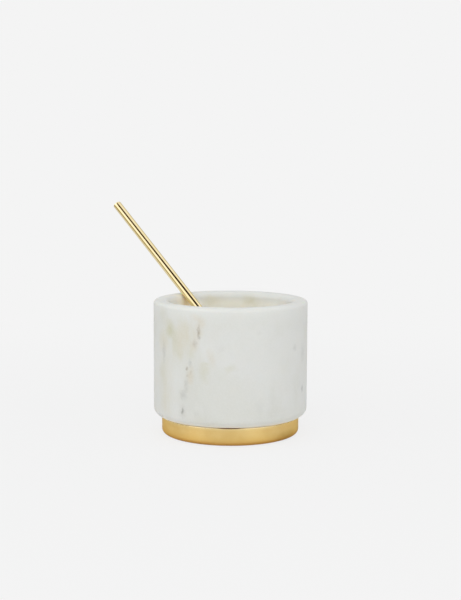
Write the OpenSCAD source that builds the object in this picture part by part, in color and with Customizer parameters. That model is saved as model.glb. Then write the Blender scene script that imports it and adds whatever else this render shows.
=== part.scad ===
// Marble pinch pot on a turned brass foot, with a brass rod spoon leaning in it.
// Millimetres, +Z up. The origin is the centre of the face that the pot rests on.
// The spoon leans in the XZ plane: its handle crosses the rim towards -X and its bowl
// lies in the bottom corner of the cavity towards +X.

/* [Marble cup] */
// Outside diameter of the cup
cup_d = 76; // [66:0.5:90]
// Height of the cup from its lower edge to its rim
cup_h = 57.3; // [50:0.1:65]
// Thickness of the cup's wall
cup_wall = 7.7; // [6.5:0.1:9]
// Thickness of the cup's floor above its lower edge
cup_floor = 7.5; // [5:0.1:9]
// Radius of the round on the outside of the cup's lower edge
cup_edge = 4; // [1:0.1:5]
// Radius of the round on the outside of the rim
rim_outer_round = 2; // [0.5:0.1:2.5]
// Radius of the round on the inside of the rim
rim_inner_round = 3; // [1:0.1:3.5]
// Radius of the round between the cavity's wall and its floor
cavity_corner = 8; // [6:0.5:12]

/* [Brass foot] */
// Outside diameter of the foot
foot_d = 68; // [62:0.5:68]
// Height of the foot
foot_h = 8.9; // [7:0.1:12]
// Thickness of the foot's wall, and of its floor above the pad
foot_wall = 1.2; // [0.8:0.1:2]
// Radius of the round on the foot's lower edge
foot_edge = 2.1; // [1.5:0.1:3]
// Radius of the round on the foot's upper edge
foot_lip = 0.5; // [0.1:0.1:0.6]
// Open line left between the top of the foot and the marble above it
shadow_gap = 0.2; // [0.1:0.05:0.8]

/* [Bond and pad] */
// Thickness of the adhesive all round and under the marble spigot
bond = 0.2; // [0.1:0.05:0.4]
// Depth of the open joint above the adhesive
bond_setback = 1; // [0.5:0.1:2]
// Diameter of the felt pad
pad_d = 56; // [40:0.5:58]
// Depth of the pad's seat in the foot
pad_seat = 0.9; // [0.5:0.1:1.5]
// Distance that the pad stands out below the foot
pad_proud = 0.4; // [0.2:0.05:1]

/* [Spoon] */
// Diameter of the rod that the handle is made of
rod_d = 4.3; // [3:0.1:6]
// Length of the whole spoon
spoon_length = 140.4; // [110:0.2:180]
// Radius of the round on the handle's free end
rod_end_round = 0.3; // [0.1:0.1:1]
// Diameter of the spoon's bowl
bowl_d = 22; // [18:0.5:26]
// Depth of the bowl measured on its outside
bowl_depth = 5.4; // [4.5:0.1:7]
// Thickness of the bowl's sheet
bowl_wall = 1; // [0.6:0.1:1.5]
// Thickness of the braze between the handle and the bowl
braze = 0.15; // [0.05:0.05:0.4]
// Clearance between the spoon and the marble it leans on
rest_gap = 0.2; // [0.1:0.05:0.4]

/* [Hidden] */
$fn = 128;
// Length by which a cutting shape passes the face that it cuts
overrun = 1;

// Heights, from the resting face up
foot_z = pad_proud;
foot_top_z = foot_z + foot_h;
shoulder_z = foot_top_z + shadow_gap;
rim_z = shoulder_z + cup_h;
floor_z = shoulder_z + cup_floor;
pocket_z = foot_z + pad_seat + foot_wall;
spigot_z = pocket_z + bond;
bond_top_z = foot_top_z - bond_setback;

// Radii of the turned pieces
cup_r = cup_d / 2;
cavity_r = cup_r - cup_wall;
foot_r = foot_d / 2;
pocket_r = foot_r - foot_wall;
spigot_r = pocket_r - bond;
pocket_edge = foot_edge - foot_wall;
spigot_edge = pocket_edge;
pad_r = pad_d / 2;

// The spoon's bowl is a piece of a sphere
rod_r = rod_d / 2;
bowl_r = bowl_d / 2;
bowl_sphere_r = (bowl_r * bowl_r + bowl_depth * bowl_depth) / (2 * bowl_depth);
bowl_sphere_x = bowl_sphere_r - bowl_depth;

// The spoon touches the cavity in two places: its handle lies over the rim's inner round, and the
// plane of its bowl's rim runs through the centre of the corner's round. That sets its lean.
bowl_face_across = rim_inner_round + rest_gap + rod_d;
corner_x = 2 * cavity_r + rim_inner_round - cavity_corner;
corner_z = rim_z - rim_inner_round - floor_z - cavity_corner;
corner_distance = sqrt(corner_x * corner_x + corner_z * corner_z);
lean = atan2(corner_x, corner_z) - asin(bowl_face_across / corner_distance);

// Distances down the handle from the rim, to the spoon's tip and to the middle of its bowl
corner_along = corner_x * sin(lean) + corner_z * cos(lean);
tip_along = corner_along + cavity_corner - rest_gap;
bowl_along = tip_along - bowl_r;
rod_top = spoon_length - bowl_r;

// Half section of a disc between two heights, with a round on its lower and its upper edge
module disc_section(radius, bottom, top, lower_round, upper_round) {
    difference() {
        translate([0, bottom])
            square([radius, top - bottom]);
        if (lower_round > 0)
            translate([radius - lower_round, bottom + lower_round])
                difference() {
                    translate([0, -lower_round - overrun])
                        square(lower_round + overrun);
                    circle(lower_round);
                }
        if (upper_round > 0)
            translate([radius - upper_round, top - upper_round])
                difference() {
                    square(upper_round + overrun);
                    circle(upper_round);
                }
    }
}

// Half section of the cavity, open at the top, with its mouth opened out by the rim's round
module cavity_section() {
    disc_section(cavity_r, floor_z, rim_z + overrun, cavity_corner, 0);
    translate([cavity_r, rim_z - rim_inner_round])
        difference() {
            translate([-overrun, 0])
                square([overrun + rim_inner_round, rim_inner_round + overrun]);
            translate([rim_inner_round, 0])
                circle(rim_inner_round);
        }
}

// Puts its children in the spoon's own frame: the origin is the centre of the bowl's rim,
// +Z runs up the handle and +X points out of the bowl
module on_spoon() {
    translate([-cavity_r - rim_inner_round, 0, rim_z - rim_inner_round])
        rotate([0, -lean, 0])
            translate([bowl_face_across, 0, -bowl_along])
                children();
}

// The rod from the middle of the bowl up to its free end, just under the plane of the bowl's rim
module rod_blank() {
    translate([-rod_r, 0, 0])
        rotate_extrude()
            disc_section(rod_r, 0, rod_top, 0, rod_end_round);
}

module bowl_ball(radius) {
    translate([bowl_sphere_x, 0, 0])
        sphere(radius);
}

module marble_pot() {
    color("#d8d9d4")
    rotate_extrude()
        difference() {
            union() {
                disc_section(cup_r, shoulder_z, rim_z, cup_edge, rim_outer_round);
                disc_section(spigot_r, spigot_z, shoulder_z + overrun, spigot_edge, 0);
            }
            cavity_section();
        }
}

module foot_bond() {
    color("#cfc9b8")
    rotate_extrude()
        difference() {
            disc_section(pocket_r, pocket_z, bond_top_z, pocket_edge, 0);
            disc_section(spigot_r, spigot_z, bond_top_z + overrun, spigot_edge, 0);
        }
}

module brass_foot() {
    color("#d3b56f")
    rotate_extrude()
        difference() {
            disc_section(foot_r, foot_z, foot_top_z, foot_edge, foot_lip);
            disc_section(pocket_r, pocket_z, foot_top_z + overrun, pocket_edge, 0);
            translate([0, foot_z - overrun])
                square([pad_r, pad_seat + overrun]);
        }
}

module felt_pad() {
    color("#46443f")
    cylinder(r = pad_r, h = pad_proud + pad_seat);
}

module spoon_handle() {
    color("#dcc27a")
    on_spoon()
        difference() {
            rod_blank();
            bowl_ball(bowl_sphere_r + braze);
        }
}

module spoon_bowl() {
    color("#dcc27a")
    on_spoon()
        rotate([0, 90, 0])
            rotate_extrude()
                intersection() {
                    translate([0, bowl_sphere_x])
                        difference() {
                            circle(bowl_sphere_r);
                            circle(bowl_sphere_r - bowl_wall);
                        }
                    translate([0, -bowl_depth - overrun])
                        square([bowl_r + overrun, bowl_depth + overrun]);
                }
}

module spoon_braze() {
    color("#d9d2b4")
    on_spoon()
        intersection() {
            rod_blank();
            difference() {
                bowl_ball(bowl_sphere_r + braze);
                bowl_ball(bowl_sphere_r);
            }
        }
}

marble_pot();
foot_bond();
brass_foot();
felt_pad();
spoon_handle();
spoon_bowl();
spoon_braze();
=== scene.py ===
import math

import bmesh
import bpy
from mathutils import Matrix, Vector

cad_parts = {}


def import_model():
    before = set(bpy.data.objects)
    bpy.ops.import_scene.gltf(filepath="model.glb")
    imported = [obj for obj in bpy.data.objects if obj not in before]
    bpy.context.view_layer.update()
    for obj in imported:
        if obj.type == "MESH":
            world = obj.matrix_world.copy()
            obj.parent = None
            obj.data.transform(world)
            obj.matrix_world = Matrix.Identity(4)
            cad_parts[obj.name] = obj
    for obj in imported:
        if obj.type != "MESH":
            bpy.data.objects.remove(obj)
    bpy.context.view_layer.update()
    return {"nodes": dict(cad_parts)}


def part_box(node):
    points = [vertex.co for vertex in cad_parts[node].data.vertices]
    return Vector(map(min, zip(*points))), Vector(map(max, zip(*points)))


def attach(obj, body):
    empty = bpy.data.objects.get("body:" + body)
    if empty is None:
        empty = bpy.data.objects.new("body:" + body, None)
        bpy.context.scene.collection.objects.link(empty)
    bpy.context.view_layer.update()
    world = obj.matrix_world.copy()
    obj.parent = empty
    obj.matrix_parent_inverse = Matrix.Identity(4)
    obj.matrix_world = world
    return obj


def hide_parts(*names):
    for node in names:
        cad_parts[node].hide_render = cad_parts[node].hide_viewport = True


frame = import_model()

# Units: everything below is in metres, and mm turns millimetres into them
mm = 0.001

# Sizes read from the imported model
cup_low, cup_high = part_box("marble_pot")
foot_low, foot_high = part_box("brass_foot")
bond_low, bond_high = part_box("foot_bond")
pad_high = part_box("felt_pad")[1]
cup_r = cup_high.x
rim_z = cup_high.z
spigot_z = cup_low.z
foot_r = foot_high.x
foot_z = foot_low.z
foot_top_z = foot_high.z
pocket_r = bond_high.x
pocket_z = bond_low.z
pad_r = pad_high.x
pad_top_z = pad_high.z
bond = spigot_z - pocket_z
spigot_r = pocket_r - bond

# Sizes of the turned pieces that a box doesn't show
cup_wall = 7.7 * mm
cup_floor = 7.5 * mm
shadow_gap = 0.2 * mm
cup_edge = 4.0 * mm
rim_outer_round = 2.0 * mm
rim_inner_round = 3.0 * mm
cavity_corner = 8.0 * mm
foot_edge = 2.1 * mm
foot_lip = 0.5 * mm
foot_wall = foot_r - pocket_r
foot_break = 0.15 * mm
pad_break = 0.35 * mm
pocket_edge = foot_edge - foot_wall
shoulder_z = foot_top_z + shadow_gap
floor_z = shoulder_z + cup_floor
cavity_r = cup_r - cup_wall

# Sizes of the spoon
rod_r = 2.15 * mm
rod_end_round = 0.3 * mm
spoon_length = 140.4 * mm
bowl_r = 11.0 * mm
bowl_depth = 5.4 * mm
bowl_wall = 1.0 * mm
lip_drop = 0.45 * mm
rest_gap = 0.2 * mm
ball_r = (bowl_r ** 2 + bowl_depth ** 2) / (2 * bowl_depth)
ball_x = ball_r - bowl_depth

# Sizes of the bead of braze: its width at the back, the share of it that is left under the
# bowl's rim, and how far its root reaches into the rod and down
bead_width = 0.9 * mm
bead_least_share = 0.12
bead_root_in = 0.15 * mm
bead_root_down = 0.05 * mm

# The spoon lies over the rim and in the corner of the cavity, which sets its lean
face_across = rim_inner_round + rest_gap + 2 * rod_r
corner_x = 2 * cavity_r + rim_inner_round - cavity_corner
corner_z = rim_z - rim_inner_round - floor_z - cavity_corner
lean = math.atan2(corner_x, corner_z) - math.asin(face_across / math.hypot(corner_x, corner_z))
corner_along = corner_x * math.sin(lean) + corner_z * math.cos(lean)
bowl_along = corner_along + cavity_corner - rest_gap - bowl_r
rod_top = spoon_length - bowl_r

# In the spoon's frame the handle runs up +Z, and +X points out of the bowl
SPOON_FRAME = (
    Matrix.Translation((-cavity_r - rim_inner_round, 0, rim_z - rim_inner_round))
    @ Matrix.Rotation(-lean, 4, "Y")
    @ Matrix.Translation((face_across, 0, -bowl_along))
)

# How fine the meshes are: faces round a piece, the length of a face along it, and steps in a curve
POT_SIDES = 192
PAD_SIDES = 160
BOWL_SIDES = 144
ROD_SIDES = 96
CUP_STEP = 2.0 * mm
BASE_STEP = 1.5 * mm
ROD_STEP = 2.0 * mm
BOWL_STEPS = 26
LIP_STEPS = 8
BEAD_STEPS = 6

# Edges that turn by more degrees than this are drawn sharp
SHARP_ANGLE = 35.0
BEAD_SHARP_ANGLE = 60.0

# Lengths below this count as nothing
TINY = 1e-9


# Outlines and turned meshes

def spaced(start, end, steps):
    """Numbers in even steps from the start to the end, with both among them."""
    return [start + (end - start) * k / steps for k in range(steps + 1)]


def circle(count):
    """Evenly spaced points of a circle of radius 1."""
    angles = [2 * math.pi * k / count for k in range(count)]
    return [(math.cos(angle), math.sin(angle)) for angle in angles]


def arc(centre_r, centre_z, radius, start, end, steps):
    """Points of an arc in the half plane of radius and height, with its angles in degrees."""
    angles = [math.radians(degrees) for degrees in spaced(start, end, steps)]
    return [(centre_r + radius * math.cos(a), centre_z + radius * math.sin(a)) for a in angles]


def fill(outline, step):
    """The outline again, with its long stretches cut into steps of about the given length."""
    points = [outline[0]]
    for a, b in zip(outline, outline[1:]):
        length = math.hypot(b[0] - a[0], b[1] - a[1])
        if length < TINY:
            continue
        pieces = max(1, round(length / step))
        for k in range(1, pieces + 1):
            t = k / pieces
            points.append((a[0] + (b[0] - a[0]) * t, a[1] + (b[1] - a[1]) * t))
    return points


def to_object(bm, name, sharp=SHARP_ANGLE):
    """A smooth shaded object with the mesh that was built, which is then let go."""
    mesh = bpy.data.meshes.new(name)
    bm.to_mesh(mesh)
    bm.free()
    mesh.shade_smooth()
    mesh.set_sharp_from_angle(angle=math.radians(sharp))
    piece = bpy.data.objects.new(name, mesh)
    bpy.context.scene.collection.objects.link(piece)
    return piece


def add_ring(bm, points, place):
    """New vertices at the points, each carried to its place by a matrix."""
    return [bm.verts.new(place @ Vector(point)) for point in points]


def join_rings(bm, rings):
    """Faces between rings of vertices; a ring of one vertex is a pole."""
    for lower, upper in zip(rings, rings[1:]):
        count = max(len(lower), len(upper))
        for k in range(count):
            n = (k + 1) % count
            corners = []
            for ring, i in ((lower, k), (lower, n), (upper, n), (upper, k)):
                vertex = ring[i % len(ring)]
                if vertex not in corners:
                    corners.append(vertex)
            bm.faces.new(corners)


def turned(name, outline, sides, place=Matrix.Identity(4)):
    """A closed solid of revolution. Its outline runs from the axis out, up and back to the axis."""
    bm = bmesh.new()
    around = circle(sides)
    rings = []
    for radius, height in outline:
        points = [(radius * x, radius * y, height) for x, y in around]
        if radius < TINY:
            points = [(0, 0, height)]
        rings.append(add_ring(bm, points, place))
    join_rings(bm, rings)
    return to_object(bm, name)


def dress(piece, body, node, material):
    """Lets a piece ride on its body, stand for its CAD node and take its material."""
    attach(piece, body)
    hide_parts(node)
    piece.data.materials.clear()
    piece.data.materials.append(material)


# Materials

class Net:
    """A node tree with short ways to add nodes. A value is a number, a colour or a socket."""

    def __init__(self, tree):
        self.tree = tree

    def put(self, socket, value):
        if isinstance(value, bpy.types.NodeSocket):
            self.tree.links.new(value, socket)
        else:
            socket.default_value = value

    def add(self, kind, inputs=(), **settings):
        node = self.tree.nodes.new(kind)
        for key, value in settings.items():
            setattr(node, key, value)
        for key, value in dict(inputs).items():
            self.put(node.inputs[key], value)
        return node

    def place(self):
        return self.add("ShaderNodeTexCoord").outputs["Object"]

    def round_place(self, place):
        """The three coordinates of a place, and its distance from the pot's axis."""
        side = self.add("ShaderNodeSeparateXYZ", {0: place}).outputs
        flat = self.add("ShaderNodeCombineXYZ", {"X": side["X"], "Y": side["Y"]}).outputs[0]
        return side["X"], side["Y"], side["Z"], self.length(flat)

    def math(self, operation, *values):
        inputs = dict(enumerate(values))
        return self.add("ShaderNodeMath", inputs, operation=operation).outputs[0]

    def vector(self, operation, *values):
        inputs = dict(enumerate(values))
        return self.add("ShaderNodeVectorMath", inputs, operation=operation).outputs[0]

    def length(self, value):
        return self.add("ShaderNodeVectorMath", {0: value}, operation="LENGTH").outputs["Value"]

    def scaled(self, value, factor):
        inputs = {"Vector": value, "Scale": factor}
        return self.add("ShaderNodeVectorMath", inputs, operation="SCALE").outputs["Vector"]

    def stretch(self, place, turn=(0, 0, 0), scale=(1, 1, 1)):
        """The place, turned and then scaled. Noise on it is drawn out where the scale is small."""
        turned_place = self.add("ShaderNodeMapping", {"Vector": place, "Rotation": turn}).outputs[0]
        return self.add("ShaderNodeMapping", {"Vector": turned_place, "Scale": scale}).outputs[0]

    def noise(self, place, scale, detail=3.0, roughness=0.5, output=0):
        """Noise between 0 and 1. Its forms are about 1 / scale across."""
        inputs = {"Vector": place, "Scale": scale, "Detail": detail, "Roughness": roughness}
        return self.add("ShaderNodeTexNoise", inputs).outputs[output]

    def cells(self, place, scale):
        return self.add("ShaderNodeTexVoronoi", {"Vector": place, "Scale": scale}).outputs["Distance"]

    def warped(self, place, scale, reach):
        """The place, moved about by a soft noise by up to roughly the given reach."""
        drift = self.noise(place, scale, output="Color")
        drift = self.vector("SUBTRACT", drift, (0.5, 0.5, 0.5))
        return self.vector("ADD", place, self.scaled(drift, reach))

    def span(self, value, low, high, to_low=0.0, to_high=1.0):
        """Carries a value smoothly from one range to another, and no further than its ends."""
        inputs = {
            "Value": value,
            "From Min": low,
            "From Max": high,
            "To Min": to_low,
            "To Max": to_high,
        }
        return self.add("ShaderNodeMapRange", inputs, interpolation_type="SMOOTHSTEP").outputs[0]

    def mix(self, share, a, b):
        """Colour a with a share of colour b in it."""
        return self.add("ShaderNodeMix", {0: share, 6: a, 7: b}, data_type="RGBA").outputs[2]


class Paint(Net):
    """A node material. Its settings are the shader's inputs, written with _ for each space."""

    def __init__(self, name, **settings):
        self.material = bpy.data.materials.new(name)
        self.material.use_nodes = True
        super().__init__(self.material.node_tree)
        self.shader = self.tree.nodes["Principled BSDF"]
        self.finish(**settings)

    def bump(self, height, strength, distance):
        inputs = {"Height": height, "Strength": strength, "Distance": distance}
        self.finish(Normal=self.add("ShaderNodeBump", inputs).outputs[0])

    def finish(self, **settings):
        for name, value in settings.items():
            self.put(self.shader.inputs[name.replace("_", " ")], value)
        return self.material


def tone(r, g, b):
    """A colour written as it shows on the screen, from 0 to 255, as the light that it stands for."""
    light = []
    for part in (r / 255, g / 255, b / 255):
        light.append(part / 12.92 if part <= 0.04045 else ((part + 0.055) / 1.055) ** 2.4)
    return (*light, 1.0)


# Marks on the stone and on the foot. A row has a mark's angle about the axis in degrees, its
# height, half width and half height in mm, and its strength.
BEIGE_MARKS = [
    (-87, 52, 6.0, 9.0, 0.34),
    (-84, 56, 5.0, 5.0, 0.16),
    (-80, 50, 4.0, 9.0, 0.10),
    (-90, 45, 4.0, 7.0, 0.18),
    (-108.5, 49, 4.2, 5.5, 0.36),
    (-107.2, 22, 4.8, 9.0, 0.20),
    (-104, 34, 6.0, 26.0, 0.21),
]
WARM_MARKS = [
    (-75.1, 62.3, 3.4, 2.2, 0.24),
    (-70.4, 59.6, 2.2, 3.6, 0.24),
    (-73.0, 55.4, 2.6, 5.2, 0.36),
    (-76.6, 48.6, 2.4, 4.0, 0.30),
    (-89.6, 48.0, 1.2, 4.6, 0.12),
    (-80.2, 34.4, 2.2, 4.2, 0.42),
    (-63.7, 43.5, 2.4, 3.6, 0.28),
]
OLIVE_MARKS = [
    (-99.0, 55.4, 3.8, 4.0, 0.82),
    (-96.0, 52.6, 2.8, 3.6, 0.26),
    (-93.4, 48.4, 2.8, 5.0, 0.3),
    (-89.4, 43.6, 3.0, 3.0, 0.22),
    (-78.4, 44.0, 2.6, 3.0, 0.2),
    (-68.9, 37.3, 3.0, 3.8, 0.32),
    (-68.9, 40.4, 2.4, 1.0, 0.22),
    (-68.2, 32.6, 2.0, 2.6, 0.14),
    (-108.4, 61.6, 4.2, 5.0, 0.24),
    (-109.2, 33.4, 3.4, 6.0, 0.36),
    (-49.5, 38.6, 3.6, 1.6, 0.28),
    (-66, 12, 9.0, 3.0, 0.1),
]
BROWN_MARKS = [
    (-73.1, 55.0, 0.85, 2.4, 0.66),
    (-72.8, 57.8, 0.75, 1.8, 0.22),
    (-76.2, 49.8, 1.4, 2.0, 0.3),
    (-82.5, 37.5, 0.6, 1.0, 0.66),
    (-82.6, 34.1, 0.8, 0.7, 0.3),
    (-79.6, 36.0, 0.6, 1.2, 0.16),
]
GREY_MARKS = [
    (-83.4, 29.4, 1.4, 3.8, 0.24),
    (-86.0, 24.6, 2.4, 2.6, 0.30),
    (-86.6, 16.6, 0.8, 1.7, 0.74),
    (-86.4, 16.6, 2.2, 3.6, 0.2),
    (-75.1, 16.2, 1.8, 1.8, 0.1),
    (-72.7, 52.6, 0.75, 1.2, 0.4),
    (-107.0, 43.4, 1.8, 5.6, 0.26),
    (-57.3, 47.9, 2.2, 2.2, 0.06),
    (-29.2, 55.0, 1.2, 1.2, 0.06),
    (-80.0, 40.4, 1.0, 2.0, 0.26),
    (4.4, 46.1, 1.8, 1.6, 0.22),
    (17.0, 42.4, 2.6, 5.0, 0.18),
    (16.8, 25.0, 1.3, 1.8, 0.50),
    (-28.3, 19.9, 2.0, 3.4, 0.06),
]
INNER_MARKS = [
    (149.0, 62.4, 6.5, 3.4, 0.4),
    (109.0, 62.2, 5.0, 3.2, 0.46),
    (128.0, 60.0, 16.0, 3.0, 0.14),
]
# A painted warm reflection of the brass rod on the stone, where the rod lies over the rim
ROD_GLOW_PAINTED_MARKS = [
    (177.0, 62.2, 2.6, 4.2, 0.68),
    (-178.6, 63.6, 2.2, 3.6, 0.52),
    (176.0, 57.0, 1.5, 4.6, 0.42),
    (173.0, 55.0, 3.0, 6.0, 0.16),
]
# Painted light on the stone in the cavity beside the rod
ROD_SIDE_PAINTED_LIGHT_MARKS = [
    (-172.0, 63.2, 4.8, 4.6, 0.84),
    (-158.0, 62.0, 4.6, 4.0, 0.44),
]
# Painted shade on the foot: low on one side, and a dark line in the crease in front under the stone
FOOT_PAINTED_SHADE_MARKS = [
    (6.0, 1.6, 10.0, 3.2, 0.34),
    (-49.9, 9.25, 6.4, 0.40, 2.0),
]
# A painted highlight high on the same side of the foot
FOOT_PAINTED_HIGHLIGHT_MARKS = [
    (4.0, 8.2, 12.0, 3.4, 0.70),
]

# A mark fades out from its middle, and is gone at MARK_SPREAD * MARK_FADE times its half size
MARK_SPREAD = 1.3
MARK_FADE = 1.1


def on_wall(angle, height, radius):
    """A place on a round wall, from its angle about the axis in degrees and its height."""
    a = math.radians(angle)
    return Vector((radius * math.cos(a), radius * math.sin(a), height))


def marks(net, place, table, radius, noise, ragged):
    """Soft marks on a round wall, added where they meet, with their edges broken up by the noise."""
    uneven = net.math("MULTIPLY", net.math("SUBTRACT", noise, 0.5), ragged)
    total = 0.0
    for angle, height, half_width, half_height, strength in table:
        centre = on_wall(angle, height * mm, radius)
        size = Vector((half_width, half_width, half_height)) * (MARK_SPREAD * mm)
        offset = net.vector("DIVIDE", net.vector("SUBTRACT", place, centre), size)
        reach = net.math("SUBTRACT", uneven, net.length(offset))
        total = net.math("ADD", total, net.span(reach, -MARK_FADE, 0.0, 0.0, strength))
    return total


def stone_ground(net, bent, z, radius):
    """Clouded white stone, with painted light making it whiter at the rim and the lower edge, and paler
    down in the cavity.
    """
    cloud = net.noise(bent, 34.0, 5.0, 0.55)
    wisps = net.noise(net.stretch(bent, scale=(70, 70, 24)), 1.0, 4.0, 0.6)
    ground = net.mix(net.span(cloud, 0.36, 0.64), tone(221, 222, 218), tone(217, 218, 212))
    ground = net.mix(net.span(wisps, 0.52, 0.72, 0.0, 0.35), ground, tone(207, 208, 200))
    # Painted light: whiter towards the rim and on the round of the lower edge
    rim_painted_light = net.span(z, rim_z - 10 * mm, rim_z - 1 * mm, 0.0, 0.45)
    ground = net.mix(rim_painted_light, ground, tone(225, 227, 224))
    lower_edge_painted_light = net.span(z, shoulder_z, shoulder_z + 2.6 * mm, 0.9, 0.0)
    ground = net.mix(lower_edge_painted_light, ground, tone(246, 244, 236))

    # Painted light down in the cavity: paler stone set against the shade that falls there
    round_start = cavity_r + 0.02 * rim_inner_round
    round_end = cavity_r + 0.25 * rim_inner_round
    within = net.span(radius, round_start, round_end, 1.0, 0.0)
    within = net.math("MULTIPLY", within, net.span(z, shoulder_z, floor_z))
    below_rim = net.span(z, rim_z - 6.5 * mm, rim_z - 1.5 * mm, 1.0, 0.0)
    pale = net.mix(net.span(cloud, 0.40, 0.62), tone(248, 247, 241), tone(244, 243, 234))
    pale = net.mix(net.span(wisps, 0.50, 0.72, 0.0, 0.30), pale, tone(226, 224, 211))
    return net.mix(net.math("MULTIPLY", within, below_rim), ground, pale)


def stone_marks(net, ground, here, wavy):
    """The marks that the photograph shows, and where the rod lies, a painted warm reflection of the
    brass and painted light on the stone beside it.
    """
    frayed = net.warped(here, 420.0, 1.4 * mm)
    soft = net.noise(here, 190.0, 4.0, 0.6)
    broken = net.noise(here, 850.0, 3.0, 0.6)
    streaky = net.noise(net.stretch(wavy, scale=(520, 520, 110)), 1.0, 3.0, 0.6)
    for table, colour, wall_r, place, noise, ragged in (
        (BEIGE_MARKS, tone(209, 201, 173), cup_r, wavy, streaky, 0.8),
        (WARM_MARKS, tone(208, 196, 170), cup_r, wavy, soft, 1.0),
        (OLIVE_MARKS, tone(199, 197, 168), cup_r, wavy, soft, 0.9),
        (INNER_MARKS, tone(205, 200, 165), cavity_r, wavy, soft, 0.8),
        (ROD_SIDE_PAINTED_LIGHT_MARKS, tone(253, 246, 232), cavity_r, here, soft, 0.6),
        (ROD_GLOW_PAINTED_MARKS, tone(243, 219, 170), cavity_r, wavy, streaky, 1.0),
        (BROWN_MARKS, tone(158, 146, 128), cup_r, frayed, broken, 1.0),
        (GREY_MARKS, tone(150, 151, 145), cup_r, frayed, broken, 1.0),
    ):
        ground = net.mix(marks(net, place, table, wall_r, noise, ragged), ground, colour)
    return ground


def stone_veins(net, ground, here, bent, wavy):
    """Warm clouds and thin veins that run up the sides which the photograph doesn't show."""
    x, y, z, radius = net.round_place(here)
    hidden = net.span(net.math("SUBTRACT", y, x), -8 * mm, 20 * mm)
    outside = net.span(radius, cup_r - 3 * mm, cup_r - 1 * mm)
    away = net.math("MULTIPLY", hidden, outside)

    warmth = net.noise(net.stretch(wavy, scale=(62, 62, 30)), 1.0, 4.0, 0.6)
    warmth = net.math("MULTIPLY", net.span(warmth, 0.54, 0.74, 0.0, 0.42), away)
    ground = net.mix(warmth, ground, tone(209, 201, 173))

    sheet = net.noise(net.stretch(bent, turn=(0.25, 0.35, 0.0), scale=(20, 20, 6)), 1.0, 2.0)
    from_vein = net.math("ABSOLUTE", net.math("SUBTRACT", sheet, 0.5))
    vein = net.span(from_vein, 0.0, 0.018, 1.0, 0.0)
    showing = net.span(net.noise(here, 46.0, 3.0, 0.6), 0.46, 0.62)
    below_rim = net.span(z, rim_z - 16 * mm, rim_z - 6 * mm, 0.36, 0.0)
    for share in (showing, away, below_rim):
        vein = net.math("MULTIPLY", vein, share)
    return net.mix(vein, ground, tone(160, 156, 145))


def honed_marble():
    net = Paint(
        "honed_marble",
        IOR=1.49,
        Subsurface_Weight=0.35,
        Subsurface_Scale=5 * mm,
        Subsurface_Radius=(1.0, 0.85, 0.7),
    )
    here = net.place()
    bent = net.warped(here, 70.0, 8 * mm)
    wavy = net.warped(here, 150.0, 3.5 * mm)
    z, radius = net.round_place(here)[2:]
    ground = stone_ground(net, bent, z, radius)
    ground = stone_marks(net, ground, here, wavy)
    ground = stone_veins(net, ground, here, bent, wavy)

    # Crystal grain, as a faint sparkle of lightness and a very fine tooth
    crystal = net.cells(here, 1150.0)
    ground = net.mix(net.span(crystal, 0.0, 0.9, 0.0, 0.12), ground, tone(236, 236, 234))
    tooth = net.math("ADD", net.noise(here, 2600.0, 2.0), net.math("MULTIPLY", crystal, 0.6))
    net.bump(tooth, 0.22, 0.06 * mm)
    rough = net.span(net.noise(here, 300.0, 3.0), 0.3, 0.7, 0.50, 0.62)
    return net.finish(Base_Color=ground, Roughness=rough)


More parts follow.
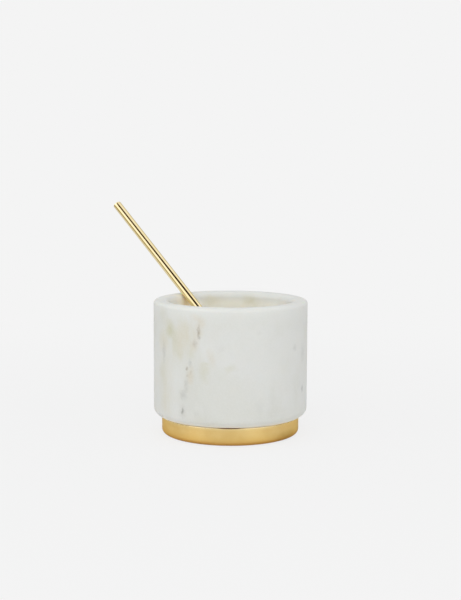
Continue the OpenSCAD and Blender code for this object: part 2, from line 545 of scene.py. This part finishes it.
def satin_brass():
    net = Paint(
        "satin_brass",
        Metallic=1.0,
        Anisotropic=0.7,
        Anisotropic_Rotation=0.25,
        Specular_Tint=(0.95, 0.82, 0.55, 1.0),
    )
    here = net.place()
    x, y, z, radius = net.round_place(here)

    # Turning marks run round the foot, so they change fast with height and radius, not along it
    lines = net.add("ShaderNodeCombineXYZ", {
        "X": net.math("MULTIPLY", x, 30.0),
        "Y": net.math("MULTIPLY", net.math("ADD", z, radius), 5200.0),
        "Z": net.math("MULTIPLY", y, 30.0),
    })
    grain = net.noise(lines.outputs[0], 1.0, 3.0, 0.6)
    soft = net.noise(here, 120.0, 4.0, 0.6)
    colour = net.mix(net.span(soft, 0.3, 0.7), tone(239, 208, 139), tone(234, 200, 128))

    # Painted reflection makes the foot pale towards the upper edge, and painted shade makes it deeper in
    # tone towards the lower one and darker on the round below
    level = net.math("ADD", z, net.math("MULTIPLY", soft, 0.8 * mm))
    upper = net.span(level, foot_top_z - 1.8 * mm, foot_top_z + 0.8 * mm, 0.0, 0.70)
    colour = net.mix(upper, colour, tone(240, 218, 164))
    lower = net.span(level, foot_z + 0.8 * mm, foot_z + 6.2 * mm, 0.75, 0.0)
    colour = net.mix(lower, colour, tone(226, 183, 94))
    under = net.span(level, foot_z + 0.6 * mm, foot_z + 3.2 * mm, 0.9, 0.0)
    colour = net.mix(under, colour, tone(200, 148, 74))
    colour = net.mix(net.span(grain, 0.35, 0.75, 0.0, 0.2), colour, tone(240, 214, 152))
    rough = net.span(grain, 0.2, 0.8, 0.37, 0.43)
    rough = net.math("ADD", rough, net.span(soft, 0.3, 0.7, -0.02, 0.03))

    # The turned lip at the top is smoother than the wall below it, and a highlight is painted on it
    lip_highlight_and_polish = net.span(z, foot_top_z - 1.3 * foot_lip, foot_top_z - 0.8 * foot_lip)
    colour = net.mix(net.math("MULTIPLY", lip_highlight_and_polish, 0.8), colour, tone(252, 238, 200))
    rough = net.math("MULTIPLY", rough, net.span(lip_highlight_and_polish, 0.0, 1.0, 1.0, 0.35))

    # A painted highlight makes one side paler above, and painted shade makes it deeper below and darkens
    # the crease in front
    paler = marks(net, here, FOOT_PAINTED_HIGHLIGHT_MARKS, foot_r, soft, 0.4)
    colour = net.mix(paler, colour, tone(250, 216, 146))
    foot_painted_shade = marks(net, here, FOOT_PAINTED_SHADE_MARKS, foot_r, soft, 0.4)
    colour = net.mix(foot_painted_shade, colour, tone(140, 100, 38))
    net.bump(grain, 0.06, 0.01 * mm)
    return net.finish(Base_Color=colour, Roughness=rough)


def polished_brass():
    net = Paint("polished_brass", Metallic=1.0)
    here = net.place()
    along = net.stretch(here, turn=(0, lean, 0), scale=(2600, 2600, 40))
    drawn = net.noise(along, 1.0, 2.0)
    soft = net.noise(here, 160.0, 4.0, 0.6)
    colour = net.mix(net.span(soft, 0.3, 0.7), tone(247, 229, 178), tone(242, 222, 166))
    rough = net.span(drawn, 0.3, 0.7, 0.02, 0.04)
    rough = net.math("ADD", rough, net.span(soft, 0.35, 0.7, 0.0, 0.015))
    net.bump(drawn, 0.03, 0.005 * mm)
    return net.finish(Base_Color=colour, Roughness=rough)


def braze_metal():
    net = Paint("braze_metal", Metallic=1.0)
    soft = net.noise(net.place(), 900.0, 3.0, 0.6)
    colour = net.mix(net.span(soft, 0.3, 0.7), tone(232, 214, 160), tone(214, 190, 128))
    net.bump(soft, 0.15, 0.04 * mm)
    return net.finish(Base_Color=colour, Roughness=net.span(soft, 0.3, 0.7, 0.18, 0.30))


def pressed_felt():
    """Felt with two lays of fibres that cross."""
    net = Paint("pressed_felt", Sheen_Weight=0.35, Sheen_Roughness=0.6)
    here = net.place()
    one_way = net.stretch(here, turn=(0, 0, 0.7), scale=(900, 2600, 2600))
    other_way = net.stretch(here, turn=(0, 0, -0.6), scale=(2600, 900, 2600))
    tangle = net.noise(one_way, 1.0, 4.0, 0.7)
    crossed = net.noise(other_way, 1.0, 4.0, 0.7)
    fibre = net.math("MAXIMUM", tangle, crossed)
    colour = net.mix(net.span(fibre, 0.40, 0.72), tone(38, 37, 34), tone(74, 72, 67))
    net.bump(fibre, 0.7, 0.3 * mm)
    return net.finish(Base_Color=colour, Roughness=net.span(fibre, 0.4, 0.7, 0.85, 0.98))


def cured_adhesive():
    net = Paint("cured_adhesive", Subsurface_Weight=0.05)
    soft = net.noise(net.place(), 420.0, 4.0, 0.6)
    colour = net.mix(net.span(soft, 0.3, 0.7), tone(196, 186, 158), tone(172, 160, 130))
    net.bump(soft, 0.25, 0.08 * mm)
    return net.finish(Base_Color=colour, Roughness=net.span(soft, 0.3, 0.7, 0.35, 0.55))


# Pieces

def marble_cup(material):
    outline = [(0, spigot_z)]
    outline += arc(spigot_r - pocket_edge, spigot_z + pocket_edge, pocket_edge, -90, 0, 6)
    outline += [(spigot_r, shoulder_z)]
    outline += arc(cup_r - cup_edge, shoulder_z + cup_edge, cup_edge, -90, 0, 14)
    outline += arc(cup_r - rim_outer_round, rim_z - rim_outer_round, rim_outer_round, 0, 90, 10)
    outline += arc(cavity_r + rim_inner_round, rim_z - rim_inner_round, rim_inner_round, 90, 180, 14)
    outline += arc(cavity_r - cavity_corner, floor_z + cavity_corner, cavity_corner, 0, -90, 16)
    outline += [(0, floor_z)]
    piece = turned("cup", fill(outline, CUP_STEP), POT_SIDES)
    dress(piece, "pot", "marble_pot", material)


def foot(material):
    outline = [(0, pad_top_z), (pad_r, pad_top_z)]
    outline += arc(pad_r + foot_break, foot_z + foot_break, foot_break, 180, 270, 4)
    outline += arc(foot_r - foot_edge, foot_z + foot_edge, foot_edge, -90, 0, 12)
    outline += arc(foot_r - foot_lip, foot_top_z - foot_lip, foot_lip, 0, 90, 6)
    outline += arc(pocket_r + foot_break, foot_top_z - foot_break, foot_break, 90, 180, 4)
    outline += arc(pocket_r - pocket_edge, pocket_z + pocket_edge, pocket_edge, 0, -90, 6)
    outline += [(0, pocket_z)]
    piece = turned("foot", fill(outline, BASE_STEP), POT_SIDES)
    dress(piece, "pot", "brass_foot", material)


def pad(material):
    outline = [(0, 0)]
    outline += arc(pad_r - pad_break, pad_break, pad_break, -90, 0, 5)
    outline += [(pad_r, pad_top_z), (0, pad_top_z)]
    piece = turned("pad", fill(outline, BASE_STEP), PAD_SIDES)
    dress(piece, "pot", "felt_pad", material)


def spoon_bowl(material):
    """A shallow piece of a ball, with its sheet's edge rounded over."""
    inner_r = ball_r - bowl_wall
    inner_edge_r = math.sqrt(inner_r ** 2 - ball_x ** 2)
    outer_end = math.degrees(math.asin(bowl_r / ball_r))
    inner_end = math.degrees(math.asin(inner_edge_r / inner_r))
    drop_angle = math.degrees(lip_drop / ball_r)
    lip_r = (bowl_r - inner_edge_r) / 2
    outline = arc(0, ball_x, ball_r, -90, -90 + outer_end - drop_angle, BOWL_STEPS)
    for k in range(1, LIP_STEPS):
        a = math.pi * k / LIP_STEPS
        outline.append((inner_edge_r + lip_r + lip_r * math.cos(a), -lip_drop * (1 - math.sin(a))))
    outline += arc(0, ball_x, inner_r, -90 + inner_end - drop_angle, -90, BOWL_STEPS)
    outline[0] = (0, outline[0][1])
    outline[-1] = (0, outline[-1][1])
    place = SPOON_FRAME @ Matrix.Rotation(math.pi / 2, 4, "Y")
    piece = turned("spoon_bowl_polished", outline, BOWL_SIDES, place)
    dress(piece, "spoon", "spoon_bowl", material)


def cope(x, y):
    """How far up the handle the ball of the bowl's back reaches, at a place in the rod's section."""
    return math.sqrt(ball_r ** 2 - (x - ball_x) ** 2 - y ** 2)


def spoon_rod(material):
    """The rod, cut to the bowl's back at its lower end and rounded over at its free end."""
    around = circle(ROD_SIDES)

    def section(radius):
        """Places round the rod's axis, which is one rod radius behind the plane of the bowl's rim."""
        return [(-rod_r + radius * x, radius * y) for x, y in around]

    outside = section(rod_r)
    edge = [cope(x, y) for x, y in outside]
    body_start = max(edge) + ROD_STEP / 2
    body_end = rod_top - rod_end_round
    body_steps = round((body_end - body_start) / ROD_STEP)

    rings = [[(-rod_r, 0, cope(-rod_r, 0))]]
    for share in (0.25, 0.5, 0.75):
        rings.append([(x, y, cope(x, y)) for x, y in section(share * rod_r)])
    for share in (0.0, 0.2, 0.5, 1.0):
        level = [z + (body_start - z) * share for z in edge]
        rings.append([(x, y, z) for (x, y), z in zip(outside, level)])
    for height in spaced(body_start, body_end, body_steps)[1:-1]:
        rings.append([(x, y, height) for x, y in outside])
    for radius, height in arc(rod_r - rod_end_round, body_end, rod_end_round, 0, 90, 5):
        rings.append([(x, y, height) for x, y in section(radius)])
    for share in (0.66, 0.33):
        rings.append([(x, y, rod_top) for x, y in section(share * rod_r)])
    rings.append([(-rod_r, 0, rod_top)])

    bm = bmesh.new()
    join_rings(bm, [add_ring(bm, ring, SPOON_FRAME) for ring in rings])
    piece = to_object(bm, "spoon_rod_polished")
    dress(piece, "spoon", "spoon_handle", material)


def bead_section(x, y):
    """The bead's section at a place round the rod: a fillet from the rod to the bowl, and its root."""
    out = Vector((x, y, 0))
    foot_x, foot_y = -rod_r + rod_r * out.x, rod_r * out.y
    joint = Vector((foot_x, foot_y, cope(foot_x, foot_y)))
    width = bead_width * (bead_least_share + (1 - bead_least_share) * (1 - out.x) / 2)
    up = joint + Vector((0, 0, width))
    ball_centre = Vector((ball_x, 0, 0))
    on_bowl = ball_centre + (joint + out * width - ball_centre).normalized() * ball_r
    on_bowl.x = min(on_bowl.x, 0)
    fillet = []
    for t in spaced(0, 1, BEAD_STEPS):
        fillet.append(up * (1 - t) ** 2 + joint * 2 * t * (1 - t) + on_bowl * t ** 2)
    root = joint - out * bead_root_in - Vector((0, 0, bead_root_down))
    return fillet + [root]


def braze_bead(material):
    """The hollow bead of braze round the joint, wide at the back and thin under the bowl's rim."""
    bm = bmesh.new()
    rings = [add_ring(bm, bead_section(x, y), SPOON_FRAME) for x, y in circle(ROD_SIDES)]
    for ring, following in zip(rings, rings[1:] + rings[:1]):
        for j in range(len(ring)):
            n = (j + 1) % len(ring)
            bm.faces.new((ring[j], ring[n], following[n], following[j]))
    bmesh.ops.recalc_face_normals(bm, faces=bm.faces)
    piece = to_object(bm, "braze_bead", BEAD_SHARP_ANGLE)
    dress(piece, "spoon", "spoon_braze", material)


# Stage: camera, floor, world, lamps, and the cards that the metal reflects

# The camera, fitted to the outlines in the photograph, with its angles in degrees
CAMERA_AZIMUTH = 40.1
CAMERA_ELEVATION = 7.03
CAMERA_DISTANCE = 630.6 * mm
CAMERA_ASIDE = -0.07 * mm
CAMERA_ROLL = 0.2
FOCAL_PIXELS = 1276.2
PICTURE_HEIGHT = 600
SENSOR = 36.0
NEAREST_SEEN = 0.02
FARTHEST_SEEN = 40

# The place in the mouth of the pot that the camera, the lamps and the cards face
AIM = Vector((0, 0, 66.3 * mm))

# The paper's tone is also what the camera and the metal see of the world
PAPER = tone(244, 244, 244)
WORLD_COLOUR = (0.985, 0.99, 1.0, 1.0)
WORLD_LIGHT = 0.70
FLOOR_HALF_SIZE = 12.0

# The camera sees the floor partly as plain background. That share grows from PLAIN_LEAST, at
# PLAIN_FROM metres from the middle of the foot, to all of it at PLAIN_TO. Metal sees little of it.
PLAIN_FROM = 0.04
PLAIN_TO = 0.40
PLAIN_LEAST = 0.88
PLAIN_IN_METAL = 0.05

# Soft boxes: azimuth and elevation in degrees as seen from the camera, width and height in
# metres, and radiance
LAMP_DISTANCE = 1.3
LAMPS = {
    "front_box": (-6, 40, 1.2, 0.9, 1.42),
    "left_box": (-64, 26, 0.6, 0.8, 1.0),
    "right_box": (60, 26, 0.6, 0.7, 0.90),
}

# Cards: ranges of azimuth and elevation in degrees as seen from the camera, distance in metres
# and light
CARD_STEPS = 12
CARDS = {
    "bright_left": ((-92, -42), (-6, 16), 1.1, (1.25, 1.24, 1.20)),
    "bright_left_high": ((-92, -42), (16, 46), 1.1, (1.27, 1.28, 1.42)),
    "bright_far_left": ((-108, -70), (15, 60), 1.0, (1.95, 1.88, 1.70)),
    "bright_right": ((24, 56), (-6, 60), 1.1, (1.25, 1.24, 1.20)),
    "bright_top": ((66, 130), (56, 88), 1.1, (1.07, 1.09, 1.22)),
    "dark_left": ((-54, -30), (46, 76), 1.0, (0.080, 0.048, 0.010)),
    "dark_top": ((-30, 42), (46, 76), 1.0, (0.024, 0.010, 0.000)),
    "grey_left": ((-170, -70), (-22, 13), 0.5, (0.455, 0.415, 0.31)),
    "grey_right": ((78, 136), (-6, 40), 0.9, (0.42, 0.37, 0.27)),
    "grey_back": ((136, 176), (-6, 44), 0.9, (0.62, 0.61, 0.58)),
}


def seen_from(azimuth, elevation):
    """The direction from the object towards a place round it, as seen from the photograph's camera."""
    a = math.radians(CAMERA_AZIMUTH + azimuth)
    e = math.radians(elevation)
    return Vector((math.sin(a) * math.cos(e), -math.cos(a) * math.cos(e), math.sin(e)))


def camera():
    back = seen_from(0, CAMERA_ELEVATION)
    right = Vector((0, 0, 1)).cross(back).normalized()
    data = bpy.data.cameras.new("camera")
    data.sensor_width = SENSOR
    data.lens = FOCAL_PIXELS / PICTURE_HEIGHT * SENSOR
    data.clip_start = NEAREST_SEEN
    data.clip_end = FARTHEST_SEEN
    view = bpy.data.objects.new("camera", data)
    view.location = AIM + right * CAMERA_ASIDE + back * CAMERA_DISTANCE
    turn = (-back).to_track_quat("-Z", "Y").to_matrix()
    view.rotation_euler = (turn @ Matrix.Rotation(math.radians(CAMERA_ROLL), 3, "Z")).to_euler()
    bpy.context.scene.collection.objects.link(view)
    bpy.context.scene.camera = view


def seen_share(net, by_camera, by_metal):
    """A share for camera rays, another for rays off metal or through glass, and 0 for other rays."""
    path = net.add("ShaderNodeLightPath").outputs
    share = net.math("MULTIPLY", path["Is Camera Ray"], by_camera)
    for ray in ("Is Glossy Ray", "Is Transmission Ray"):
        share = net.math("MAXIMUM", share, net.math("MULTIPLY", path[ray], by_metal))
    return share


def world():
    """A plain pale light, which the camera and the metal see as the paper's tone."""
    made = bpy.data.worlds.new("studio")
    made.use_nodes = True
    bpy.context.scene.world = made
    net = Net(made.node_tree)
    light = net.tree.nodes["Background"]
    net.put(light.inputs["Color"], WORLD_COLOUR)
    net.put(light.inputs["Strength"], WORLD_LIGHT)
    seen = net.add("ShaderNodeBackground", {"Color": PAPER})
    shares = {0: seen_share(net, 1.0, 1.0), 1: light.outputs[0], 2: seen.outputs[0]}
    mix = net.add("ShaderNodeMixShader", shares)
    net.put(net.tree.nodes["World Output"].inputs["Surface"], mix.outputs[0])


def floor():
    """White paper. Far from the pot it turns into the plain background, and near it keeps the shadow."""
    bm = bmesh.new()
    bmesh.ops.create_grid(bm, x_segments=1, y_segments=1, size=FLOOR_HALF_SIZE)
    sheet = to_object(bm, "floor")
    net = Paint("paper_floor", Roughness=1.0, Specular_IOR_Level=0.0)
    here = net.place()
    grain = net.noise(here, 900.0)
    net.finish(Base_Color=net.mix(grain, tone(238, 238, 238), tone(242, 242, 242)))
    glow = net.add("ShaderNodeEmission", {"Color": PAPER})
    plain = net.span(net.length(here), PLAIN_FROM, PLAIN_TO, PLAIN_LEAST, 1.0)
    plain = net.math("MULTIPLY", plain, seen_share(net, 1.0, 0.0))
    plain = net.math("MAXIMUM", plain, seen_share(net, 0.0, PLAIN_IN_METAL))
    mix = net.add("ShaderNodeMixShader", {0: plain, 1: net.shader.outputs[0], 2: glow.outputs[0]})
    net.put(net.tree.nodes["Material Output"].inputs["Surface"], mix.outputs[0])
    sheet.data.materials.append(net.material)


def lamp(name, azimuth, elevation, width, height, radiance):
    """A soft box that faces the pot, placed as seen from the camera. Metal sees the cards instead."""
    data = bpy.data.lights.new(name, "AREA")
    data.shape = "RECTANGLE"
    data.size = width
    data.size_y = height
    data.energy = radiance * math.pi * width * height
    box = bpy.data.objects.new(name, data)
    towards = seen_from(azimuth, elevation)
    box.location = AIM + towards * LAMP_DISTANCE
    box.rotation_euler = towards.to_track_quat("Z", "Y").to_euler()
    box.visible_camera = False
    box.visible_glossy = False
    bpy.context.scene.collection.objects.link(box)


def card(name, azimuths, elevations, distance, light):
    """A plain curved card that only metal sees. It fills a range of directions from the pot."""
    bm = bmesh.new()
    place = Matrix.Translation(AIM)
    rows = []
    for elevation in spaced(*elevations, CARD_STEPS):
        towards = [seen_from(azimuth, elevation) for azimuth in spaced(*azimuths, CARD_STEPS)]
        rows.append(add_ring(bm, [direction * distance for direction in towards], place))
    for lower, upper in zip(rows, rows[1:]):
        for k in range(CARD_STEPS):
            bm.faces.new((lower[k], lower[k + 1], upper[k + 1], upper[k]))
    sheet = to_object(bm, name)
    net = Paint(
        name + "_paint",
        Base_Color=(0.0, 0.0, 0.0, 1.0),
        Roughness=1.0,
        Specular_IOR_Level=0.0,
        Emission_Color=(*light, 1.0),
        Emission_Strength=1.0,
    )
    sheet.data.materials.append(net.material)
    sheet.visible_camera = False
    sheet.visible_diffuse = False
    sheet.visible_transmission = False
    sheet.visible_shadow = False


def build_pieces():
    polished = polished_brass()
    marble_cup(honed_marble())
    foot(satin_brass())
    pad(pressed_felt())
    spoon_bowl(polished)
    spoon_rod(polished)
    braze_bead(braze_metal())
    bond_node = frame["nodes"]["foot_bond"]
    bond_node.data.materials.clear()
    bond_node.data.materials.append(cured_adhesive())


def build_stage():
    camera()
    world()
    floor()
    for name, settings in LAMPS.items():
        lamp(name, *settings)
    for name, settings in CARDS.items():
        card(name, *settings)


build_pieces()
build_stage()
bpy.context.scene.view_settings.view_transform = "Standard"
